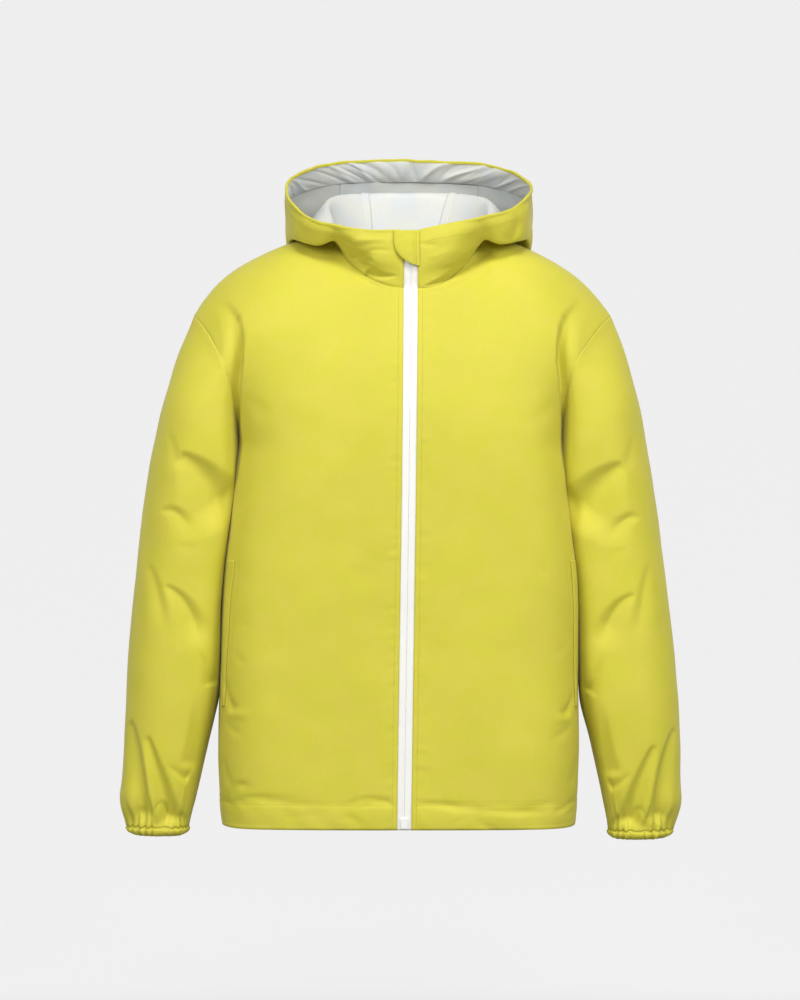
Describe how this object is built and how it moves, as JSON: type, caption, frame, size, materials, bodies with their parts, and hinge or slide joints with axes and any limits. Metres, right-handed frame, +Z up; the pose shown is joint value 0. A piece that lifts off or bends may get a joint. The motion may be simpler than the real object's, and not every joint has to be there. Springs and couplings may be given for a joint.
{
  "type": "rain jacket",
  "caption": "Light hooded rain jacket with a full front zip, side pockets, gathered cuffs and the hood down, filled out as if worn.",
  "frame": {"origin": "between the wearer's shoulders, at the height of the front neck seam, where a body holds the jacket", "axes": "+Z up along the wearer's back, -Y the way the wearer faces, +X to the wearer's left"},
  "size_m": [0.6813, 0.3, 0.8365],
  "materials": {
    "shell": "satin",
    "inside_white": "satin",
    "zip_tape": "matte",
    "zip_moulded": "satin"
  },
  "bodies": {
    "root": {"front_left": "shell", "front_right": "shell", "back": "shell", "sleeve_left": "shell", "sleeve_right": "shell", "cuff_left": "shell", "cuff_right": "shell", "hood_left": "shell", "hood_right": "shell", "hood_centre": "shell", "chin_flap": "shell", "pocket_welt_left": "shell", "pocket_welt_right": "shell", "hood_facing": "inside_white", "pocket_bag_left": "inside_white", "pocket_bag_right": "inside_white", "zip_tape_left": "zip_tape", "zip_tape_right": "zip_tape", "zip_slider": "zip_moulded", "zip_pull": "zip_moulded", "zip_box": "zip_moulded"}
  },
  "joints": []
}
